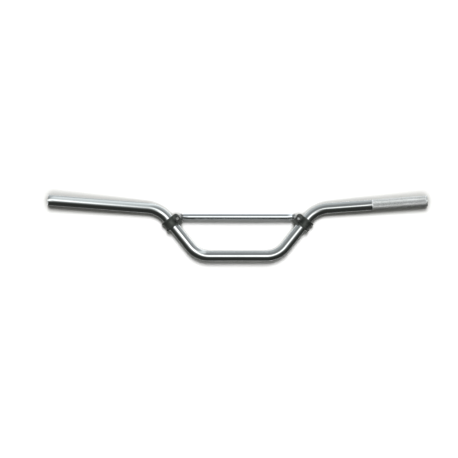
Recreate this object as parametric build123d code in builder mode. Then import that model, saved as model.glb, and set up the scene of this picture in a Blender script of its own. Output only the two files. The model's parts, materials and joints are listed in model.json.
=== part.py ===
from build123d import *
import os
from math import cos, radians, sin, tan

# Motorcycle handlebar with a bolted crossbar, as mounted: +X to the rider's right, +Y forward, +Z up.
# The origin is the middle of the straight centre section, where the stem clamps hold the bar.
# All lengths are millimetres.

# ---- main bar: one bent tube ----
tube_radius = 11.1
tube_wall = 2.0
tube_bore_radius = tube_radius - tube_wall
tube_end_fillet = 0.5

lower_corner_x = 87.2
upper_corner_x = 168.2
rise = 101.0
grip_end_x = 401.2
grip_end_y = -52.0
grip_end_z = 118.2
lower_bend_radius = 52.0
upper_bend_radius = 60.0

# ---- crossbar clamps: two pressed halves each, hooked together outside and bolted inside ----
seat_distance = 89.0            # from the lower corner, along the inclined stretch
seat_clearance = 0.05
seat_radius = tube_radius + seat_clearance
clamp_sheet = 2.5
band_radius = seat_radius + clamp_sheet
band_low = -9.0                 # lower and upper edges of the band, along the tube
band_high = 12.0
rib_width = 4.5
rib_height = 1.2
rib_radius = band_radius + rib_height
rib_outer_fillet = 0.7
rib_root_fillet = 0.4

bolt_offset = 16.6              # from the tube's axis to the bolt's
ear_reach = 22.8
ear_half_width = 12.0
ear_corner_radius = 6.0
ear_root = 4.0
ear_edge_fillet = 0.7

parting_gap = 0.2               # each half stops this far from the middle plane, on the hook side
lip_thickness = 2.5
lip_radius = 15.0
hook_clearance = 0.2
hook_thickness = 2.0
hook_engagement = 1.0
hook_shoulder = 4.6             # where the hook leaves the band, in front of the middle plane
hook_fillet = 0.7
rib_relief = 8.0                # the rear half has no ribs this near the hooks

# ---- fasteners: M6 ----
bolt_radius = 3.0
bolt_length = 30.0
bolt_hole_radius = 3.2
hex_across_flats = 10.0
hex_half_angle = 30.0           # between a flat's middle and the corner beside it
hex_head_height = 4.0
nut_height = 5.0
nut_clearance = 0.02
nut_bore_radius = bolt_radius + nut_clearance
hex_chamfer_angle = 30.0
hex_bevel_margin = 0.3
thread_chamfer = 0.8
washer_radius = 6.0
washer_thickness = 1.6
lock_washer_radius = 5.8
lock_washer_bore = 3.1
lock_washer_gap = 1.2
lock_washer_slant = 20.0
washer_chamfer = 0.3

# ---- crossbar: a tube with a pressed-in end fitting at each end ----
crossbar_radius = 6.35
crossbar_wall = 1.2
crossbar_bore_radius = crossbar_radius - crossbar_wall
crossbar_half_length = 117.5
crossbar_drop = 4.5             # the bolt's axis lies this far below the crossbar's
crossbar_end_fillet = 0.4
eye_thickness = 12.6
eye_radius = 5.3
eye_edge_fillet = 1.0
ear_clearance = 0.1             # between the eye and each ear
ear_gap = eye_thickness / 2 + ear_clearance
shank_length = 22.0
groove_width = 3.0
groove_radius = 4.9
collar_width = 3.5
collar_radius = eye_thickness / 2
collar_fillet = 0.6
neck_half_height = 5.6

cut_length = 60.0               # how far a cut reaches when it has to pass right through

# ---- worked out from the above ----
lower_corner = Vector(lower_corner_x, 0, 0)
upper_corner = Vector(upper_corner_x, 0, rise)
grip_end = Vector(grip_end_x, grip_end_y, grip_end_z)
incline = (upper_corner - lower_corner).normalized()
inward = Vector(-incline.Z, 0, incline.X)
seat_centre = lower_corner + incline * seat_distance
bolt_centre = seat_centre + inward * bolt_offset
crossbar_z = bolt_centre.Z + crossbar_drop
ear_face = ear_gap + clamp_sheet
hex_radius = hex_across_flats / 2 / cos(radians(hex_half_angle))

# The clamp's planes: across the tube, along it through the bolt, and flat on the ears.
seat_plane = Plane(origin=seat_centre, x_dir=inward, z_dir=incline)
profile_plane = Plane(origin=seat_centre, x_dir=inward, z_dir=(0, 1, 0))
ear_plane = Plane(origin=seat_centre, x_dir=inward, z_dir=(0, -1, 0))
bolt_plane = Plane(origin=bolt_centre, x_dir=(1, 0, 0), z_dir=(0, -1, 0))
seat_axis = Axis(seat_centre, incline)

os.makedirs("parts", exist_ok=True)


def save(part, name):
    part.label = name
    export_step(part, f"parts/{name}.step")


def save_pair(right_part, name):
    """Write a right-hand piece and its mirror image on the left."""
    with BuildPart() as left:
        mirror(right_part, about=Plane.YZ)
    save(right_part, f"right_{name}")
    save(left.part, f"left_{name}")


def mirrored_x(point):
    return Vector(-point.X, point.Y, point.Z)


# ---- the main bar ----
corners = [grip_end, upper_corner, lower_corner]
corners += [mirrored_x(point) for point in reversed(corners)]
bend_radii = [upper_bend_radius, lower_bend_radius, lower_bend_radius, upper_bend_radius]

with BuildPart() as main_bar:
    with BuildLine() as bar_line:
        FilletPolyline(*corners, radius=bend_radii)
    with BuildSketch(Plane(origin=bar_line.line @ 0, z_dir=bar_line.line % 0)):
        Circle(tube_radius)
        Circle(tube_bore_radius, mode=Mode.SUBTRACT)
    sweep(path=bar_line.line)
    end_faces = main_bar.faces().filter_by(GeomType.PLANE)
    fillet(end_faces.edges(), tube_end_fillet)

# ---- the crossbar ----
crossbar_end_plane = Plane.YZ.offset(-crossbar_half_length)
with BuildPart() as crossbar_tube:
    with BuildSketch(crossbar_end_plane):
        with Locations((0, crossbar_z)):
            Circle(crossbar_radius)
            Circle(crossbar_bore_radius, mode=Mode.SUBTRACT)
    extrude(amount=2 * crossbar_half_length)
    rims = crossbar_tube.edges().filter_by(GeomType.CIRCLE)
    fillet(rims, crossbar_end_fillet)

# A turned plug: shank inside the tube, groove, collar, and a flat tongue with the bolt's eye.
collar_start = crossbar_half_length + groove_width
collar_end = collar_start + collar_width
crossbar_axis = Axis((0, 0, crossbar_z), (1, 0, 0))
with BuildPart() as right_crossbar_end:
    with BuildSketch(Plane.XZ):
        with BuildLine():
            shank_start = crossbar_half_length - shank_length
            Polyline(
                (shank_start, crossbar_z),
                (shank_start, crossbar_z + crossbar_bore_radius),
                (crossbar_half_length, crossbar_z + crossbar_bore_radius),
                (crossbar_half_length, crossbar_z + groove_radius),
                (collar_start, crossbar_z + groove_radius),
                (collar_start, crossbar_z + collar_radius),
                (collar_end, crossbar_z + collar_radius),
                (collar_end, crossbar_z),
                close=True,
            )
        make_face()
    revolve(axis=crossbar_axis)
    collar_rims = right_crossbar_end.edges().filter_by(GeomType.CIRCLE).group_by(SortBy.RADIUS)[-1]
    fillet(collar_rims, collar_fillet)
    with BuildSketch(Plane.XZ):
        with Locations((bolt_centre.X, bolt_centre.Z)):
            Circle(eye_radius)
        with BuildLine():
            neck_x = collar_end - collar_width / 2
            Line((neck_x, crossbar_z - neck_half_height), (neck_x, crossbar_z + neck_half_height))
        make_hull()
    extrude(amount=eye_thickness / 2, both=True)
    with BuildSketch(bolt_plane):
        Circle(bolt_hole_radius)
    extrude(amount=eye_thickness, both=True, mode=Mode.SUBTRACT)


# ---- the clamp halves ----
# The band, its ribs and the bolt's ear on the front side; the rear half is the same sheet, mirrored.
with BuildPart() as plain_half:
    with BuildSketch(ear_plane.offset(ear_gap)) as ear_outline:
        with Locations(((ear_root + ear_reach) / 2, 0)):
            Rectangle(ear_reach - ear_root, 2 * ear_half_width)
        fillet(ear_outline.vertices().group_by(Axis.X)[-1], ear_corner_radius)
    extrude(amount=clamp_sheet)
    fillet(plain_half.faces().sort_by(Axis.Y)[0].edges(), ear_edge_fillet)
    with BuildSketch(profile_plane) as band_profile:
        with BuildLine():
            Polyline(
                (seat_radius, band_low),
                (rib_radius, band_low),
                (rib_radius, band_low + rib_width),
                (band_radius, band_low + rib_width),
                (band_radius, band_high - rib_width),
                (rib_radius, band_high - rib_width),
                (rib_radius, band_high),
                (seat_radius, band_high),
                close=True,
            )
        make_face()
        fillet(band_profile.vertices().group_by(Axis.X)[-1], rib_outer_fillet)
        fillet(band_profile.vertices().group_by(Axis.X)[1], rib_root_fillet)
    revolve(axis=seat_axis)
    with BuildSketch(seat_plane):
        Circle(seat_radius)
    extrude(amount=cut_length, both=True, mode=Mode.SUBTRACT)
    with BuildSketch(seat_plane):
        with BuildLine():
            Polyline(
                (-cut_length, parting_gap),
                (0, parting_gap),
                (0, ear_gap),
                (cut_length, ear_gap),
                (cut_length, -cut_length),
                (-cut_length, -cut_length),
                close=True,
            )
        make_face()
    extrude(amount=cut_length, both=True, mode=Mode.SUBTRACT)
    with BuildSketch(bolt_plane):
        Circle(bolt_hole_radius)
    extrude(amount=cut_length, mode=Mode.SUBTRACT)

# The front half's two hooks, in line with its ribs, reach round the rear half's lip.
hook_inner = -(lip_radius + hook_clearance)
hook_outer = hook_inner - hook_thickness
finger_front = -(parting_gap + lip_thickness + hook_clearance)
finger_rear = finger_front - hook_thickness
finger_end = -(lip_radius - hook_engagement)
band_middle = -(seat_radius + clamp_sheet / 2)
with BuildPart() as right_clamp_front:
    add(plain_half.part)
    for hook_low in (band_low, band_high - rib_width):
        with BuildSketch(seat_plane.offset(hook_low)) as hook_profile:
            with BuildLine():
                Polyline(
                    (band_middle, parting_gap),
                    (hook_inner, parting_gap),
                    (hook_inner, finger_front),
                    (finger_end, finger_front),
                    (finger_end, finger_rear),
                    (hook_outer, finger_rear),
                    (hook_outer, hook_shoulder / 2),
                    (hook_inner, hook_shoulder),
                    (band_middle, hook_shoulder),
                    close=True,
                )
            make_face()
            fillet(hook_profile.vertices().group_by(Axis.X)[0], hook_fillet)
        extrude(amount=rib_width)

# The rear half's lip stands out between the hooks' shoulders and their fingers.
with BuildPart() as right_clamp_rear:
    mirror(plain_half.part, about=Plane.XZ)
    with BuildSketch(seat_plane.offset(band_low)):
        with Locations((-cut_length / 2, -cut_length / 2)):
            Rectangle(cut_length, cut_length)
        with Locations((-cut_length / 2, -cut_length / 2 - rib_relief)):
            Rectangle(cut_length, cut_length, mode=Mode.SUBTRACT)
        Circle(band_radius, mode=Mode.SUBTRACT)
    extrude(amount=band_high - band_low, mode=Mode.SUBTRACT)
    lip_middle_y = -(parting_gap + lip_thickness / 2)
    with BuildSketch(seat_plane.offset(band_low)):
        with Locations(((band_middle - lip_radius) / 2, lip_middle_y)):
            Rectangle(lip_radius + band_middle, lip_thickness)
    extrude(amount=band_high - band_low)

# ---- fasteners, on the bolt's axis: head behind, nut in front ----
head_face = -(ear_face + washer_thickness)
head_back = head_face - hex_head_height
lock_washer_face = ear_face + washer_thickness
nut_face = lock_washer_face + washer_thickness
nut_front = nut_face + nut_height
hex_bevel = (hex_radius - hex_across_flats / 2 + hex_bevel_margin) * tan(radians(hex_chamfer_angle))
bevel_radius = hex_across_flats / 2 - hex_bevel_margin
bolt_axis = Axis(bolt_centre, (0, -1, 0))
turning_plane = Plane(origin=bolt_centre, x_dir=(1, 0, 0), z_dir=(0, 0, -1))

with BuildPart() as right_clamp_bolt:
    with BuildSketch(bolt_plane.offset(head_back)):
        RegularPolygon(hex_radius, 6)
    extrude(amount=hex_head_height)
    with BuildSketch(turning_plane):
        with BuildLine():
            Polyline(
                (0, head_back),
                (bevel_radius, head_back),
                (hex_radius, head_back + hex_bevel),
                (hex_radius, head_face),
                (0, head_face),
                close=True,
            )
        make_face()
    revolve(axis=bolt_axis, mode=Mode.INTERSECT)
    with BuildSketch(bolt_plane.offset(head_face)):
        Circle(bolt_radius)
    extrude(amount=bolt_length)
    chamfer(right_clamp_bolt.faces().sort_by(Axis.Y)[0].edges(), thread_chamfer)

with BuildPart() as right_clamp_nut:
    with BuildSketch(bolt_plane.offset(nut_face)):
        RegularPolygon(hex_radius, 6)
    extrude(amount=nut_height)
    with BuildSketch(turning_plane):
        with BuildLine():
            Polyline(
                (nut_bore_radius, nut_face + thread_chamfer / 2),
                (nut_bore_radius + thread_chamfer / 2, nut_face),
                (bevel_radius, nut_face),
                (hex_radius, nut_face + hex_bevel),
                (hex_radius, nut_front - hex_bevel),
                (bevel_radius, nut_front),
                (nut_bore_radius + thread_chamfer / 2, nut_front),
                (nut_bore_radius, nut_front - thread_chamfer / 2),
                close=True,
            )
        make_face()
    revolve(axis=bolt_axis, mode=Mode.INTERSECT)

with BuildPart() as right_lock_washer:
    with BuildSketch(bolt_plane.offset(lock_washer_face)):
        Circle(lock_washer_radius)
        Circle(lock_washer_bore, mode=Mode.SUBTRACT)
    extrude(amount=washer_thickness)
    lock_washer_centre = bolt_centre - Vector(0, lock_washer_face + washer_thickness / 2, 0)
    with BuildSketch(Plane(origin=lock_washer_centre, x_dir=(1, 0, 0), z_dir=(0, 0, 1))):
        Rectangle(lock_washer_gap, 3 * washer_thickness, rotation=lock_washer_slant)
    extrude(amount=washer_radius, mode=Mode.SUBTRACT)


def flat_washer(face):
    """A flat washer whose rear face is this far in front of the bar's middle plane."""
    with BuildPart() as washer:
        with BuildSketch(bolt_plane.offset(face)):
            Circle(washer_radius)
            Circle(bolt_hole_radius, mode=Mode.SUBTRACT)
        extrude(amount=washer_thickness)
        rims = washer.edges().filter_by(GeomType.CIRCLE)
        chamfer(rims.group_by(SortBy.RADIUS)[-1], washer_chamfer)
    return washer.part


# ---- label and write every piece ----
save(main_bar.part, "main_bar")
save(crossbar_tube.part, "crossbar_tube")
right_pieces = {
    "crossbar_end": right_crossbar_end.part,
    "clamp_front": right_clamp_front.part,
    "clamp_rear": right_clamp_rear.part,
    "clamp_bolt": right_clamp_bolt.part,
    "clamp_nut": right_clamp_nut.part,
    "lock_washer": right_lock_washer.part,
    "front_washer": flat_washer(ear_face),
    "rear_washer": flat_washer(head_face),
}
for piece_name, piece in right_pieces.items():
    save_pair(piece, piece_name)
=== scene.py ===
import json
import math

import bmesh
import bpy
import numpy as np
from mathutils import Matrix, Vector


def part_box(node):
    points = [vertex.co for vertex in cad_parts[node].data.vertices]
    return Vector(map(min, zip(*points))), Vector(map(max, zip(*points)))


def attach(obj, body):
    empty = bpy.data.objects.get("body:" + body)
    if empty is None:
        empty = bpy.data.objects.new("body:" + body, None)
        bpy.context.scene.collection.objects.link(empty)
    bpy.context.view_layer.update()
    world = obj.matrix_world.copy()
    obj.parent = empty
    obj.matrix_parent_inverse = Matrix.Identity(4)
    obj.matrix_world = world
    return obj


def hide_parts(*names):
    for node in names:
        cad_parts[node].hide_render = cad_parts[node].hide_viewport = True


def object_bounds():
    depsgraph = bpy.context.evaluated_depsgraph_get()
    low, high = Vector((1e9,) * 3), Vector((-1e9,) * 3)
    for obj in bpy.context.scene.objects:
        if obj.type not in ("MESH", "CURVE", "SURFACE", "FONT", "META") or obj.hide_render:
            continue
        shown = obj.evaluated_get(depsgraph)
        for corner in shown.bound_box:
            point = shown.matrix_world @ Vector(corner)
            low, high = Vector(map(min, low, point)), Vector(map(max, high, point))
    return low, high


# A chromed motorcycle handlebar with a clamped crossbar, lying against a white sheet.
# Metres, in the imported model's frame: +X to the rider's right, +Y forward, +Z up.

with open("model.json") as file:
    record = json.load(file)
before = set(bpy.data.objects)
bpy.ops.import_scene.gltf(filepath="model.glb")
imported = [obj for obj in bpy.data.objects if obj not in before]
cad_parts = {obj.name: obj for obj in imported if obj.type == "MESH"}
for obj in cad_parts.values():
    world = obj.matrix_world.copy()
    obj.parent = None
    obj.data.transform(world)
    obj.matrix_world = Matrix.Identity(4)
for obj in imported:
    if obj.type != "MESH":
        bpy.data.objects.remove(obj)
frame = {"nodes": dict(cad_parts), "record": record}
cad_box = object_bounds()
mounts = {mount["name"]: mount for mount in frame["record"]["mounts"]}
MM = 0.001


# ---------------------------------------------------------------- sizes

# The bar's line. Its straight centre lies on the X axis.
tube_radius = mounts["stem_clamp"]["dims"]["r_mm"] * MM
bore_radius = mounts["right_bar_end"]["dims"]["r_mm"] * MM
tube_lip = 0.5 * MM  # the rounding of each rim
grip_axis = Vector(mounts["right_grip"]["axis"])
grip_length = mounts["right_grip"]["dims"]["length_mm"] * MM
grip_end = Vector(mounts["right_grip"]["pos_m"]) + grip_axis * (grip_length + tube_lip) / 2
upper_corner = Vector((168.2, 0, 101.0)) * MM
lower_corner = Vector((87.2, 0, 0)) * MM
upper_bend_radius = 60.0 * MM
lower_bend_radius = 52.0 * MM

crossbar_radius = mounts["crossbar_pad"]["dims"]["r_mm"] * MM
crossbar_wall = 1.2 * MM
crossbar_lip = 0.4 * MM
crossbar_z = mounts["crossbar_pad"]["pos_m"][2]

# The knurl: rows of diamonds cut into the right grip, from knurl_length before its end.
knurl_length = 116.5 * MM
knurl_depth = 0.30 * MM
knurl_row = 0.95 * MM  # from a row of crests to the next row of valleys
knurl_fade = 3.0 * MM
knurl_end_gap = 1.2 * MM

# The clamps' bolts.
bolt_radius = 3.0 * MM
neck_fillet = 0.3 * MM  # under the head
thread_pitch = 1.0 * MM
thread_depth = 0.61 * MM
thread_length = 19.0 * MM
thread_flat = 1 / 12  # the part of a pitch that is flat at the crest, and again at the root
tip_chamfer = 0.8 * MM
head_height = 4.0 * MM
head_across_flats = 10.0 * MM
head_bevel_margin = 0.3 * MM
head_bevel_radius = head_across_flats / 2 - head_bevel_margin
head_bevel_slope = math.tan(math.radians(30.0))
cap_ring = 0.6 * head_bevel_radius  # a ring of vertices on the head's flat face
tip_ring = 0.5 * (bolt_radius - tip_chamfer)  # and one on the tip's

# How finely the meshes are cut.
TUBE_AROUND = 96  # vertices round each tube
BOLT_AROUND = 48
LIP_STEPS = 4
THREAD_ROWS = 8  # rows of vertices in each turn
bend_step = math.radians(2.0)
straight_step = 12.0 * MM
bolt_sharp_degrees = 30.0

# The bar's two materials.
PLAIN_SLOT = 0
KNURL_SLOT = 1


# ---------------------------------------------------------------- lines

def mirrored_x(point):
    return Vector((-point.x, point.y, point.z))


def rounded_line(corners, radii):
    """Points along straight runs joined by arcs of the given radii, one for each inner corner."""
    points = [corners[0]]
    for before, corner, after, radius in zip(corners, corners[1:], corners[2:], radii):
        back = (before - corner).normalized()
        ahead = (after - corner).normalized()
        opening = back.angle(ahead)
        reach = radius / math.tan(opening / 2)
        centre = corner + (back + ahead).normalized() * radius / math.sin(opening / 2)
        first = corner + back * reach - centre
        turn = math.pi - opening
        axis = back.cross(ahead)
        steps = math.ceil(turn / bend_step)
        for k in range(steps + 1):
            points.append(centre + Matrix.Rotation(-turn * k / steps, 3, axis) @ first)
    points.append(corners[-1])
    return points


def subdivided(points, step):
    """The same line with no run longer than step."""
    finer = [points[0]]
    for start, end in zip(points, points[1:]):
        runs = max(1, math.ceil((end - start).length / step))
        for k in range(1, runs + 1):
            finer.append(start.lerp(end, k / runs))
    return finer


def carried_frames(points):
    """At each point the tangent and two directions across it that turn as little as they can."""
    frames = []
    across = Vector((0, 0, 1))
    last = len(points) - 1
    for k in range(len(points)):
        tangent = (points[min(k + 1, last)] - points[max(k - 1, 0)]).normalized()
        across = (across - tangent * across.dot(tangent)).normalized()
        frames.append((tangent, across, tangent.cross(across)))
    return frames


# ---------------------------------------------------------------- meshes

def new_piece(name, vertices, faces):
    mesh = bpy.data.meshes.new(name)
    mesh.from_pydata([tuple(v) for v in vertices], [], faces)
    mesh.update()
    piece = bpy.data.objects.new(name, mesh)
    bpy.context.scene.collection.objects.link(piece)
    for polygon in mesh.polygons:
        polygon.use_smooth = True
    return piece


def ring_faces(first, second, count):
    """Quads between two rings of vertices, given by the index that each ring starts at."""
    faces = []
    for i in range(count):
        j = (i + 1) % count
        faces.append((first + i, first + j, second + j, second + i))
    return faces


def face_outwards(piece, sharp_degrees=180.0):
    """Outward normals, and sharp edges where faces meet at more than this angle."""
    mesh = bmesh.new()
    mesh.from_mesh(piece.data)
    bmesh.ops.recalc_face_normals(mesh, faces=mesh.faces)
    for edge in mesh.edges:
        edge.smooth = edge.calc_face_angle(0.0) < math.radians(sharp_degrees)
    mesh.to_mesh(piece.data)
    mesh.free()


def tube_rows(last, radius, inner_radius, lip):
    """The rings of a tube along points 0 to last, outside first and then back along the bore.

    Each is a point's number, how far past it the ring lies, and the ring's radius. Also gives how many
    of them are outside.
    """
    curve = [math.pi / 2 * s / LIP_STEPS for s in range(LIP_STEPS + 1)]
    inset = [(lip * (1 - math.cos(a)), lip * (1 - math.sin(a))) for a in curve]
    rows = [(0, along, radius - less) for along, less in inset]
    rows += [(k, 0.0, radius) for k in range(1, last)]
    rows += [(last, -along, radius - less) for along, less in reversed(inset)]
    outside = len(rows)
    rows += [(last, -along, inner_radius + less) for along, less in inset]
    rows += [(k, 0.0, inner_radius) for k in range(last - 1, 0, -1)]
    rows += [(0, along, inner_radius + less) for along, less in reversed(inset)]
    return rows, outside


def tube_piece(name, points, radius, inner_radius, lip, relief=None):
    """A tube along points, open right through, with rounded rims.

    relief(row, column) gives how far a vertex of the outside is sunk, from 0 to 1 of knurl_depth.
    """
    frames = carried_frames(points)
    rows, outside = tube_rows(len(points) - 1, radius, inner_radius, lip)
    vertices, sunk = [], []
    for r, (k, along, row_radius) in enumerate(rows):
        tangent, across, beside = frames[k]
        for i in range(TUBE_AROUND):
            angle = 2 * math.pi * i / TUBE_AROUND
            depth = relief(k, i) if relief and r < outside else 0.0
            out = across * math.cos(angle) + beside * math.sin(angle)
            vertices.append(points[k] + tangent * along + out * (row_radius - depth * knurl_depth))
            sunk.append(depth)
    faces = []
    count = len(rows)
    for r in range(count):
        faces += ring_faces(r * TUBE_AROUND, (r + 1) % count * TUBE_AROUND, TUBE_AROUND)
    piece = new_piece(name, vertices, faces)
    attribute = piece.data.attributes.new("sunk", "FLOAT", "POINT")
    attribute.data.foreach_set("value", np.array(sunk, np.float32))
    face_outwards(piece)
    return piece


def cut_diagonals(piece):
    """Splits the knurl's quads from valley to valley, so that each diamond is a flat-faced pyramid."""
    mesh = bmesh.new()
    mesh.from_mesh(piece.data)
    depth = mesh.verts.layers.float["sunk"]
    for face in [face for face in mesh.faces if face.material_index == KNURL_SLOT]:
        corners = list(face.verts)
        deepest = max(range(4), key=lambda i: corners[i][depth])
        bmesh.utils.face_split(face, corners[deepest], corners[(deepest + 2) % 4])
    for face in mesh.faces:
        face.smooth = face.material_index == PLAIN_SLOT
    mesh.to_mesh(piece.data)
    mesh.free()


def main_bar_piece():
    """The bent bar with the diamond knurl on its right grip."""
    ends = [mirrored_x(grip_end), mirrored_x(upper_corner), mirrored_x(lower_corner)]
    corners = ends + [mirrored_x(corner) for corner in reversed(ends)]
    radii = [upper_bend_radius, lower_bend_radius, lower_bend_radius, upper_bend_radius]
    line = rounded_line(corners, radii)
    knurl_start = grip_end - grip_axis * knurl_length
    knurl_stop = grip_end - grip_axis * knurl_end_gap
    knurl_rows = round((knurl_stop - knurl_start).length / knurl_row)
    points = subdivided(line[:-1] + [knurl_start], straight_step)
    first = len(points) - 1
    points += [knurl_start.lerp(knurl_stop, k / knurl_rows) for k in range(1, knurl_rows + 1)]
    points.append(grip_end)

    def relief(row, column):
        k = row - first
        if not 0 < k < knurl_rows:
            return 0.0
        from_edge = min(k, knurl_rows - k) * knurl_row
        depth = min(1.0, from_edge / knurl_fade)
        return depth if (k + column) % 2 else 0.0

    piece = tube_piece("chromed_bar", points, tube_radius, bore_radius, tube_lip, relief)
    for polygon in piece.data.polygons:
        row = polygon.index // TUBE_AROUND - LIP_STEPS
        polygon.material_index = KNURL_SLOT if first <= row < first + knurl_rows else PLAIN_SLOT
    cut_diagonals(piece)
    return piece


def crossbar_piece():
    """The crossbar's tube, at its CAD node's place."""
    low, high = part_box("crossbar_tube")
    start = Vector((low.x, 0, crossbar_z))
    end = Vector((high.x, 0, crossbar_z))
    points = subdivided([start, end], straight_step)
    inner_radius = crossbar_radius - crossbar_wall
    return tube_piece("crossbar_pipe", points, crossbar_radius, inner_radius, crossbar_lip)


# ---------------------------------------------------------------- bolts with real threads

# A bolt is a stack of rings from the head's face down. Each ring is a function of the angle round the bolt
# that gives the height below the head's face and the radius there.

def round_ring(height, radius):
    return lambda angle: (height, radius)


def hex_radius_at(angle):
    sixth = math.radians(60.0)
    return head_across_flats / 2 / math.cos((angle % sixth) - sixth / 2)


def hex_ring(height):
    return lambda angle: (height, hex_radius_at(angle))


def bevel_ring(angle):
    """The head's bevel where it meets the flats: lowest at the corners."""
    radius = hex_radius_at(angle)
    return (radius - head_bevel_radius) * head_bevel_slope, radius


def thread_ring(height, length):
    """A ring across the helix of a bolt of this length. The thread fades in over its first turn."""
    fade = min(1.0, (height - (length - thread_length)) / thread_pitch)
    cone = bolt_radius - max(0.0, height - (length - tip_chamfer))

    def ring(angle):
        phase = (height / thread_pitch + angle / (2 * math.pi)) % 1.0
        flank = (abs(phase - 0.5) - thread_flat / 2) / (0.5 - thread_flat)
        depth = thread_depth * fade * (1.0 - min(1.0, max(0.0, flank)))
        return height, min(cone, bolt_radius - depth)

    return ring


def bolt_rings(length):
    thread_start = length - thread_length
    rings = [
        round_ring(0.0, cap_ring),
        round_ring(0.0, head_bevel_radius),
        bevel_ring,
        hex_ring(head_height),
        round_ring(head_height, bolt_radius + neck_fillet),
        round_ring(head_height + neck_fillet, bolt_radius),
        round_ring(thread_start, bolt_radius),
    ]
    count = round(thread_length / thread_pitch * THREAD_ROWS)
    rings += [thread_ring(thread_start + thread_length * k / count, length) for k in range(1, count + 1)]
    rings.append(round_ring(length, tip_ring))
    return rings


def bolt_piece(name, node):
    """A hex bolt with a real helix, in its CAD node's place. It points along -Y."""
    low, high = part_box(node)
    centre = (low + high) / 2
    length = high.y - low.y
    rings = bolt_rings(length)
    vertices = []
    for ring in rings:
        for i in range(BOLT_AROUND):
            angle = 2 * math.pi * i / BOLT_AROUND
            height, radius = ring(angle)
            x = centre.x + radius * math.cos(angle)
            z = centre.z - radius * math.sin(angle)
            vertices.append((x, high.y - height, z))
    faces = []
    for r in range(len(rings) - 1):
        faces += ring_faces(r * BOLT_AROUND, (r + 1) * BOLT_AROUND, BOLT_AROUND)
    head_middle = len(vertices)
    tip_middle = head_middle + 1
    vertices += [(centre.x, high.y, centre.z), (centre.x, low.y, centre.z)]
    last_ring = (len(rings) - 1) * BOLT_AROUND
    for i in range(BOLT_AROUND):
        j = (i + 1) % BOLT_AROUND
        faces.append((head_middle, j, i))
        faces.append((tip_middle, last_ring + i, last_ring + j))
    piece = new_piece(name, vertices, faces)
    face_outwards(piece, bolt_sharp_degrees)
    return piece


# ---------------------------------------------------------------- node trees

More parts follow.
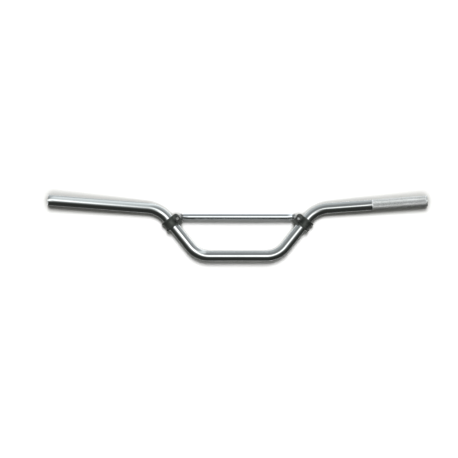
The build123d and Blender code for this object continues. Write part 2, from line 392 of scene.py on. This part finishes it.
class Nodes:
    """A short way to write the node tree of a new material or world."""

    def __init__(self, owner):
        self.owner = owner
        owner.use_nodes = True
        self.tree = owner.node_tree
        self.tree.nodes.clear()
        self.coordinates = self.add("ShaderNodeTexCoord").outputs

    def add(self, kind, **values):
        node = self.tree.nodes.new(kind)
        for key, value in values.items():
            setattr(node, key, value)
        return node

    def put(self, value, socket):
        """A link if value is another node's output, or else the socket's own value or opaque colour."""
        if isinstance(value, bpy.types.NodeSocket):
            self.tree.links.new(value, socket)
        elif socket.type == "RGBA":
            socket.default_value = (*value, 1.0)
        else:
            socket.default_value = value

    def stretched(self, scale):
        node = self.add("ShaderNodeMapping")
        self.put(self.coordinates["Object"], node.inputs["Vector"])
        self.put(scale, node.inputs["Scale"])
        return node.outputs["Vector"]

    def split(self, vector):
        node = self.add("ShaderNodeSeparateXYZ")
        self.put(vector, node.inputs["Vector"])
        return [node.outputs[letter] for letter in "XYZ"]

    def noise(self, scale, detail=4.0, roughness=0.55, stretch=None):
        """Noise from 0 to 1, mostly between 0.3 and 0.7. Its blotches are about 1 / scale across."""
        node = self.add("ShaderNodeTexNoise")
        place = self.stretched(stretch) if stretch else self.coordinates["Object"]
        values = {"Vector": place, "Scale": scale, "Detail": detail, "Roughness": roughness}
        for key, value in values.items():
            self.put(value, node.inputs[key])
        return node.outputs["Fac"]

    def ranged(self, value, low, high, to_low=0.0, to_high=1.0):
        """Value stretched so that low to high becomes to_low to to_high, and cut off beyond them."""
        node = self.add("ShaderNodeMapRange")
        values = {"Value": value, "From Min": low, "From Max": high, "To Min": to_low, "To Max": to_high}
        for key, value in values.items():
            self.put(value, node.inputs[key])
        return node.outputs["Result"]

    def math(self, operation, first, second=0.0):
        node = self.add("ShaderNodeMath", operation=operation)
        self.put(first, node.inputs[0])
        self.put(second, node.inputs[1])
        return node.outputs[0]

    def mixed(self, factor, first, second):
        node = self.add("ShaderNodeMix", data_type="RGBA")
        self.put(factor, node.inputs["Factor"])
        colours = [socket for socket in node.inputs if socket.type == "RGBA"]
        self.put(first, colours[0])
        self.put(second, colours[1])
        return next(socket for socket in node.outputs if socket.type == "RGBA")

    def ramp(self, share, stops):
        """A colour ramp over share, which runs from 0 to 1. Each stop is a place and a colour."""
        node = self.add("ShaderNodeValToRGB")
        self.put(share, node.inputs["Fac"])
        elements = node.color_ramp.elements
        elements.remove(elements[-1])
        for k, (place, colour) in enumerate(stops):
            element = elements[0] if k == 0 else elements.new(place)
            element.position = place
            element.color = (*colour, 1.0)
        return node.outputs["Color"]

    def bump(self, height, distance, strength=1.0, under=None):
        """A normal that follows height, which rises distance from 0 to 1, over the normal under it."""
        node = self.add("ShaderNodeBump")
        values = {"Height": height, "Distance": distance, "Strength": strength}
        for key, value in values.items():
            self.put(value, node.inputs[key])
        if under:
            self.put(under, node.inputs["Normal"])
        return node.outputs["Normal"]

    def edges(self, radius):
        """From 0 on flat faces towards 1 on corners."""
        bevel = self.add("ShaderNodeBevel", samples=6)
        self.put(radius, bevel.inputs["Radius"])
        plain = self.add("ShaderNodeNewGeometry")
        dot = self.add("ShaderNodeVectorMath", operation="DOT_PRODUCT")
        self.put(bevel.outputs["Normal"], dot.inputs[0])
        self.put(plain.outputs["Normal"], dot.inputs[1])
        return self.math("SUBTRACT", 1.0, dot.outputs["Value"])

    def shader(self, kind, **values):
        node = self.add(kind)
        for key, value in values.items():
            self.put(value, node.inputs[key.replace("_", " ")])
        return node.outputs[0]

    def joined(self, kind, first, second, factor=None):
        """Two shaders added, or mixed by factor."""
        node = self.add(kind)
        sockets = [socket for socket in node.inputs if socket.type == "SHADER"]
        self.put(first, sockets[0])
        self.put(second, sockets[1])
        if factor:
            self.put(factor, node.inputs["Fac"])
        return node.outputs[0]

    def finished(self, surface, output="ShaderNodeOutputMaterial"):
        self.put(surface, self.add(output).inputs["Surface"])
        return self.owner

    def metal(self, **values):
        return self.finished(self.shader("ShaderNodeBsdfPrincipled", **values))


def material_nodes(name):
    return Nodes(bpy.data.materials.new(name))


# ---------------------------------------------------------------- materials

# Colours are linear red, green and blue.
PLATE = (0.64, 0.66, 0.655)
PLATE_DULL = (0.59, 0.615, 0.605)
CROSSBAR_PLATE = (0.76, 0.79, 0.815)
CROSSBAR_PLATE_DULL = (0.70, 0.73, 0.755)
KNURL_PLATE = (0.96, 0.97, 0.97)
KNURL_PLATE_DULL = (0.88, 0.90, 0.89)
KNURL_DIRT = (0.42, 0.43, 0.41)
COAT_DARK = (0.020, 0.024, 0.021)
COAT_PALE = (0.060, 0.066, 0.058)
COAT_WORN = (0.33, 0.34, 0.32)
BOLT_ZINC = (0.40, 0.41, 0.40)
BOLT_ZINC_STAIN = (0.26, 0.26, 0.24)
END_ZINC = (0.30, 0.31, 0.31)
END_ZINC_STAIN = (0.20, 0.205, 0.20)
ZINC_WORN = (0.82, 0.83, 0.83)
OXIDE_DARK = (0.030, 0.031, 0.032)
OXIDE_PALE = (0.085, 0.083, 0.078)
OXIDE_WORN = (0.38, 0.38, 0.37)

# How far from a corner a finish is rubbed away.
worn_edge = 0.35 * MM
coat_worn_edge = 0.5 * MM

# How tightly a noise is packed along X, Y and Z: along X its blotches turn into rings round a tube.
round_marks = (6.0, 1.0, 1.0)
turned_grain = (9.0, 1.0, 1.0)
long_scuffs = (1.0, 3.0, 3.0)
scuff_shade = 0.8  # a scuff's colour, as a part of the dull plate's
scuff_cover = 0.35


def chrome(name, colour, dull, haze):
    """Bright plate: a faint wavy haze, fine polishing marks and a few scuffs."""
    n = material_nodes(name)
    cloud = n.noise(9.0, detail=3.0)
    scuffs = n.ranged(n.noise(160.0, detail=5.0, roughness=0.7, stretch=long_scuffs), 0.60, 0.78)
    marks = n.noise(900.0, detail=3.0, roughness=0.6, stretch=round_marks)
    tone = n.mixed(n.ranged(cloud, 0.35, 0.65), colour, dull)
    tone = n.mixed(n.math("MULTIPLY", scuffs, scuff_cover), tone, [scuff_shade * part for part in dull])
    rough = n.ranged(cloud, 0.3, 0.7, 0.7 * haze, 1.4 * haze)
    rough = n.math("ADD", rough, n.math("MULTIPLY", scuffs, 0.12))
    rough = n.math("ADD", rough, n.ranged(marks, 0.4, 0.7, 0.0, 0.03))
    waves = n.bump(n.noise(60.0, detail=2.0), 0.02 * MM)
    normal = n.bump(marks, 0.004 * MM, strength=0.5, under=waves)
    return n.metal(Base_Color=tone, Metallic=1.0, Roughness=rough, Normal=normal)


def knurled_chrome(name):
    """The same plate over the knurl: rubbed bright crests and grey dirt in the cuts."""
    n = material_nodes(name)
    sunk = n.add("ShaderNodeAttribute", attribute_name="sunk").outputs["Fac"]
    patches = n.ranged(n.noise(220.0, detail=5.0), 0.35, 0.7, 0.5, 1.0)
    dirt = n.math("MULTIPLY", patches, n.ranged(sunk, 0.45, 1.0))
    cloud = n.noise(40.0)
    tone = n.mixed(n.ranged(cloud, 0.3, 0.7), KNURL_PLATE, KNURL_PLATE_DULL)
    tone = n.mixed(dirt, tone, KNURL_DIRT)
    rough = n.math("ADD", n.ranged(cloud, 0.3, 0.7, 0.26, 0.40), n.math("MULTIPLY", dirt, 0.2))
    normal = n.bump(n.noise(2500.0, detail=3.0), 0.02 * MM, strength=0.5)
    return n.metal(Base_Color=tone, Metallic=0.85, Roughness=rough, Normal=normal)


def coated_steel(name):
    """The clamps' green-black coating over pressed sheet: mottled, and worn to steel along its edges."""
    n = material_nodes(name)
    mottle = n.noise(110.0, detail=6.0, roughness=0.65)
    fine = n.noise(900.0)
    patches = n.ranged(mottle, 0.42, 0.60, 0.1, 1.0)
    worn = n.math("MULTIPLY", n.ranged(n.edges(coat_worn_edge), 0.03, 0.16), patches)
    tone = n.mixed(n.ranged(mottle, 0.35, 0.68), COAT_DARK, COAT_PALE)
    tone = n.mixed(n.math("MULTIPLY", worn, 0.75), tone, COAT_WORN)
    rough = n.ranged(fine, 0.3, 0.7, 0.24, 0.42)
    normal = n.bump(fine, 0.03 * MM, strength=0.4, under=n.bump(mottle, 0.05 * MM, strength=0.3))
    metal = n.ranged(worn, 0.0, 1.0, 0.35, 1.0)
    return n.metal(Base_Color=tone, Metallic=metal, Roughness=rough, Normal=normal)


def plated(name, colour, stain, base_rough, grain=None):
    """Zinc plate: fine grain, darker staining and rubbed edges."""
    n = material_nodes(name)
    stains = n.ranged(n.noise(240.0, detail=5.0, roughness=0.6), 0.40, 0.70)
    lines = n.noise(1500.0, detail=3.0, roughness=0.6, stretch=grain)
    worn = n.ranged(n.edges(worn_edge), 0.04, 0.2, 0.0, 0.7)
    tone = n.mixed(worn, n.mixed(stains, colour, stain), ZINC_WORN)
    rough = n.ranged(lines, 0.3, 0.7, base_rough, base_rough + 0.14)
    rough = n.math("ADD", rough, n.math("MULTIPLY", stains, 0.1))
    normal = n.bump(lines, 0.012 * MM, strength=0.6)
    return n.metal(Base_Color=tone, Metallic=1.0, Roughness=rough, Normal=normal)


def blackened(name):
    """Black oxide: nearly black, oily, with grey corners."""
    n = material_nodes(name)
    cloud = n.noise(320.0, detail=5.0, roughness=0.6)
    patches = n.ranged(cloud, 0.4, 0.62, 0.2, 0.9)
    worn = n.math("MULTIPLY", n.ranged(n.edges(worn_edge), 0.04, 0.2), patches)
    tone = n.mixed(n.ranged(cloud, 0.35, 0.7), OXIDE_DARK, OXIDE_PALE)
    tone = n.mixed(worn, tone, OXIDE_WORN)
    rough = n.ranged(n.noise(1400.0, detail=3.0), 0.3, 0.7, 0.26, 0.42)
    normal = n.bump(cloud, 0.02 * MM, strength=0.4)
    return n.metal(Base_Color=tone, Metallic=0.8, Roughness=rough, Normal=normal)


def paint(piece, *materials):
    slots = piece.data.materials
    for k, material in enumerate(materials):
        if k < len(slots):
            slots[k] = material
        else:
            slots.append(material)


# ---------------------------------------------------------------- the object

bar_chrome = chrome("bar_chrome", PLATE, PLATE_DULL, haze=0.07)
crossbar_chrome = chrome("crossbar_chrome", CROSSBAR_PLATE, CROSSBAR_PLATE_DULL, haze=0.05)
knurl_chrome = knurled_chrome("knurl_chrome")
clamp_coat = coated_steel("clamp_coat")
bolt_zinc = plated("bolt_zinc", BOLT_ZINC, BOLT_ZINC_STAIN, base_rough=0.34)
end_steel = plated("end_steel", END_ZINC, END_ZINC_STAIN, base_rough=0.24, grain=turned_grain)
oxide = blackened("oxide")

chromed_bar = main_bar_piece()
paint(chromed_bar, bar_chrome, knurl_chrome)
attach(chromed_bar, "root")
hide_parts("main_bar")

crossbar_pipe = crossbar_piece()
paint(crossbar_pipe, crossbar_chrome)
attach(crossbar_pipe, "root")
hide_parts("crossbar_tube")

# What the CAD's own pieces on each side are finished in.
FINISHES = {
    "crossbar_end": end_steel,
    "clamp_front": clamp_coat,
    "clamp_rear": clamp_coat,
    "clamp_nut": oxide,
    "lock_washer": oxide,
    "front_washer": oxide,
    "rear_washer": oxide,
}

for side in ("left", "right"):
    bolt = bolt_piece(f"{side}_threaded_bolt", f"{side}_clamp_bolt")
    paint(bolt, bolt_zinc)
    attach(bolt, "root")
    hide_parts(f"{side}_clamp_bolt")
    for part, finish in FINISHES.items():
        paint(frame["nodes"][f"{side}_{part}"], finish)


# ---------------------------------------------------------------- the sheet and the surround

sheet_half_height = 0.9
sheet_half_width = 0.75
SHEET_COLUMNS = 151
SHEET_ROWS = 3
sheet_gap = 1.0 * MM  # behind the clamps' bolts
sheet_softness = 30.0 * MM  # how gently the sheet bends back beside the clamps
grip_gap = 2.0 * MM
grip_nearing = 60.0 * MM  # the sheet closes in on each grip over this length

# How near something has to be to darken the paper with painted shade: inwards of the upper bends, and at
# the grips' ends.
painted_shade_reach = 10.5 * MM
end_painted_shade_reach = 22.0 * MM

# The paper's colour, darkened as painted shade where something is near: from where it is hidden by
# something near, 0, to where it is clear, 1.
PAPER_PAINTED_SHADE_TONES = [
    (0.0, (0.20, 0.20, 0.19)),
    (0.72, (0.56, 0.56, 0.545)),
    (0.88, (0.80, 0.80, 0.79)),
    (0.99, (0.96, 0.96, 0.96)),
]

dome_radius = 8.0


def sheet_depth(x):
    """How far forward the sheet lies at x: behind the clamps, and then close behind each grip."""
    flat = cad_box[1].y + sheet_gap
    beyond = abs(x) - upper_corner.x
    slope = grip_axis.y / grip_axis.x
    bent = sheet_softness * math.log1p(math.exp(beyond / sheet_softness))
    nearer = (flat - tube_radius - grip_gap) * min(1.0, max(0.0, beyond / grip_nearing))
    return flat + slope * bent - nearer


def paper_with_painted_shade():
    """Paper whose colour is painted grey close to the bar, as painted shade. Its back doesn't show, so the
    bar can be seen from behind.
    """
    n = material_nodes("paper_with_painted_shade")
    x, _, _ = n.split(n.coordinates["Object"])
    beside = n.math("ABSOLUTE", x)
    reach = n.ranged(beside, upper_corner.x, grip_end.x, painted_shade_reach, end_painted_shade_reach)
    painted_shade_nearness = n.add("ShaderNodeAmbientOcclusion")
    n.put(reach, painted_shade_nearness.inputs["Distance"])
    # Painted shade: the paper's colour goes grey wherever the ambient occlusion finds something near.
    paper = n.shader("ShaderNodeBsdfDiffuse", Color=n.ramp(painted_shade_nearness.outputs["AO"], PAPER_PAINTED_SHADE_TONES))
    clear = n.shader("ShaderNodeBsdfTransparent")
    back = n.add("ShaderNodeNewGeometry").outputs["Backfacing"]
    return n.finished(n.joined("ShaderNodeMixShader", paper, clear, back))


def white_sheet():
    """A sheet of white paper behind the bar, which the chrome doesn't mirror."""
    vertices, faces = [], []
    for r in range(SHEET_ROWS):
        for c in range(SHEET_COLUMNS):
            x = sheet_half_width * (2 * c / (SHEET_COLUMNS - 1) - 1)
            z = sheet_half_height * (2 * r / (SHEET_ROWS - 1) - 1)
            vertices.append((x, sheet_depth(x), z))
    for r in range(SHEET_ROWS - 1):
        for c in range(SHEET_COLUMNS - 1):
            a = r * SHEET_COLUMNS + c
            faces.append((a, a + 1, a + SHEET_COLUMNS + 1, a + SHEET_COLUMNS))
    sheet = new_piece("white_sheet", vertices, faces)
    sheet.data.materials.append(paper_with_painted_shade())
    sheet.visible_glossy = False


def white_surround():
    """A white dome that only the camera sees."""
    dome = bpy.data.meshes.new("white_surround")
    mesh = bmesh.new()
    bmesh.ops.create_icosphere(mesh, subdivisions=3, radius=dome_radius)
    mesh.to_mesh(dome)
    mesh.free()
    surround = bpy.data.objects.new("white_surround", dome)
    bpy.context.scene.collection.objects.link(surround)
    n = material_nodes("white_glow")
    dome.materials.append(n.finished(n.shader("ShaderNodeEmission")))
    for ray in ("diffuse", "glossy", "transmission", "shadow", "volume_scatter"):
        setattr(surround, f"visible_{ray}", False)


# ---------------------------------------------------------------- what the bar mirrors

# The room's brightness goes by the angle, in degrees, above straight back towards the camera.
# ROOM is all of it but a bright part to the right, ROOM_BESIDE, which the left grip mirrors.
ROOM = [
    (-180, 0.30), (-165, 0.16), (-140, 0.06), (-80, 0.035), (-50, 0.045), (-30, 0.09), (-12, 0.16),
    (20, 0.26), (44, 0.34), (58, 0.30), (72, 0.50), (95, 0.72), (150, 0.72), (168, 0.50), (180, 0.30),
]
ROOM_BESIDE = [
    (-180, 0.30), (-165, 0.16), (-140, 0.06), (-80, 0.030), (-50, 0.045), (-30, 0.12), (-12, 0.30),
    (10, 0.85), (34, 0.95), (58, 0.95), (78, 1.15), (95, 1.35), (150, 1.35), (168, 0.90), (180, 0.50),
]
# How much of ROOM_BESIDE shows, by a direction's x, from 0 to 1.
BESIDE = [(0.0, 0.0), (0.10, 0.0), (0.20, 1.0), (0.33, 1.0), (0.42, 0.3), (0.52, 0.0)]

# Soft lamps, the same in front and behind: the x and z of the direction to each, its half width and
# half height, and its brightness.
LAMPS = [
    (0.05, -0.06, 0.14, 0.255, 2.4),
    (0.20, 0.20, 0.10, 0.12, 1.3),
    (-0.17, 0.19, 0.10, 0.12, 1.2),
    (0.33, 0.14, 0.08, 0.28, 1.0),
    (-0.29, -0.04, 0.11, 0.17, 1.7),
    (0.74, 0.0, 0.26, 0.20, 1.6),
    (-0.74, 0.0, 0.26, 0.20, 1.6),
]

UPPER_TINT = (0.95, 0.995, 1.02)
LOWER_TINT = (0.97, 1.02, 0.95)
tint_change = -20  # the angle that parts the two tints


def room_stops(room, brightest):
    """The room's angles as parts of a full turn, and its tinted colours as parts of the brightest."""
    stops = []
    for degrees, brightness in room:
        tint = UPPER_TINT if degrees > tint_change else LOWER_TINT
        stops.append(((degrees + 180) / 360, [part * brightness / brightest for part in tint]))
    return stops


def room_colour(n, x, y, z, brightest):
    """The room's colour in direction x, y, z, as a part of the brightest."""
    turn = n.math("ARCTAN2", z, n.math("MULTIPLY", y, -1.0))
    share = n.math("ADD", n.math("DIVIDE", turn, 2 * math.pi), 0.5)
    middle = n.ramp(share, room_stops(ROOM, brightest))
    beside = n.ramp(share, room_stops(ROOM_BESIDE, brightest))
    weight = n.ramp(x, [(place, [part] * 3) for place, part in BESIDE])
    return n.mixed(weight, middle, beside)


def lamp_brightness(n, x, z):
    """All the soft lamps together, as seen in directions with this x and z."""
    total = 0.0
    for lamp_x, lamp_z, half_width, half_height, brightness in LAMPS:
        across = n.math("DIVIDE", n.math("SUBTRACT", x, lamp_x), half_width)
        up = n.math("DIVIDE", n.math("SUBTRACT", z, lamp_z), half_height)
        squares = n.math("ADD", n.math("MULTIPLY", across, across), n.math("MULTIPLY", up, up))
        fading = n.math("EXPONENT", n.math("MULTIPLY", squares, -1.0))
        total = n.math("ADD", n.math("MULTIPLY", fading, brightness), total)
    return total


def room_light():
    """The world that the bar mirrors. It gives the sheet no light."""
    n = Nodes(bpy.data.worlds.new("room"))
    x, y, z = n.split(n.coordinates["Generated"])
    brightest = max(brightness for degrees, brightness in ROOM + ROOM_BESIDE)
    colour = room_colour(n, x, y, z, brightest)
    room = n.shader("ShaderNodeBackground", Color=colour, Strength=brightest)
    lamps = n.shader("ShaderNodeBackground", Color=(1.0, 1.0, 1.0), Strength=lamp_brightness(n, x, z))
    world = n.finished(n.joined("ShaderNodeAddShader", room, lamps), "ShaderNodeOutputWorld")
    bpy.context.scene.world = world
    world.cycles_visibility.diffuse = False


def soft_sun(name, energy, width_degrees, height_degrees, colour):
    """A broad light from in front, so many degrees above level, which the chrome doesn't mirror."""
    lamp = bpy.data.lights.new(name, "SUN")
    lamp.energy = energy
    lamp.color = colour
    lamp.angle = math.radians(width_degrees)
    holder = bpy.data.objects.new(name, lamp)
    bpy.context.scene.collection.objects.link(holder)
    height = math.radians(height_degrees)
    source = Vector((0.0, -math.cos(height), math.sin(height)))
    holder.rotation_mode = "QUATERNION"
    holder.rotation_quaternion = source.to_track_quat("Z", "Y")
    holder.visible_glossy = False


# ---------------------------------------------------------------- the camera

view_distance = 2.4
view_width = 0.9883  # what the picture spans at that distance
view_azimuth = math.radians(-1.9)
view_roll = math.radians(0.06)
view_aim = Vector((-0.0189, 0.0, 0.0578))
sensor_width = 36.0


def main_camera():
    lens = bpy.data.cameras.new("camera")
    lens.sensor_width = sensor_width
    lens.lens = sensor_width * view_distance / view_width
    camera = bpy.data.objects.new("camera", lens)
    bpy.context.scene.collection.objects.link(camera)
    back = Vector((math.sin(view_azimuth), -math.cos(view_azimuth), 0.0))
    camera.location = view_aim + back * view_distance
    upright = (-back).to_track_quat("-Z", "Y").to_matrix()
    camera.rotation_mode = "QUATERNION"
    camera.rotation_quaternion = (Matrix.Rotation(view_roll, 3, back) @ upright).to_quaternion()
    bpy.context.scene.camera = camera


white_sheet()
white_surround()
room_light()
soft_sun("soft_key", energy=3.6, width_degrees=28.0, height_degrees=30.5, colour=(1.0, 1.0, 1.0))
soft_sun("soft_fill", energy=0.65, width_degrees=120.0, height_degrees=0.0, colour=(1.0, 1.0, 0.95))
main_camera()
bpy.context.scene.view_settings.view_transform = "Standard"

bpy.context.view_layer.update()
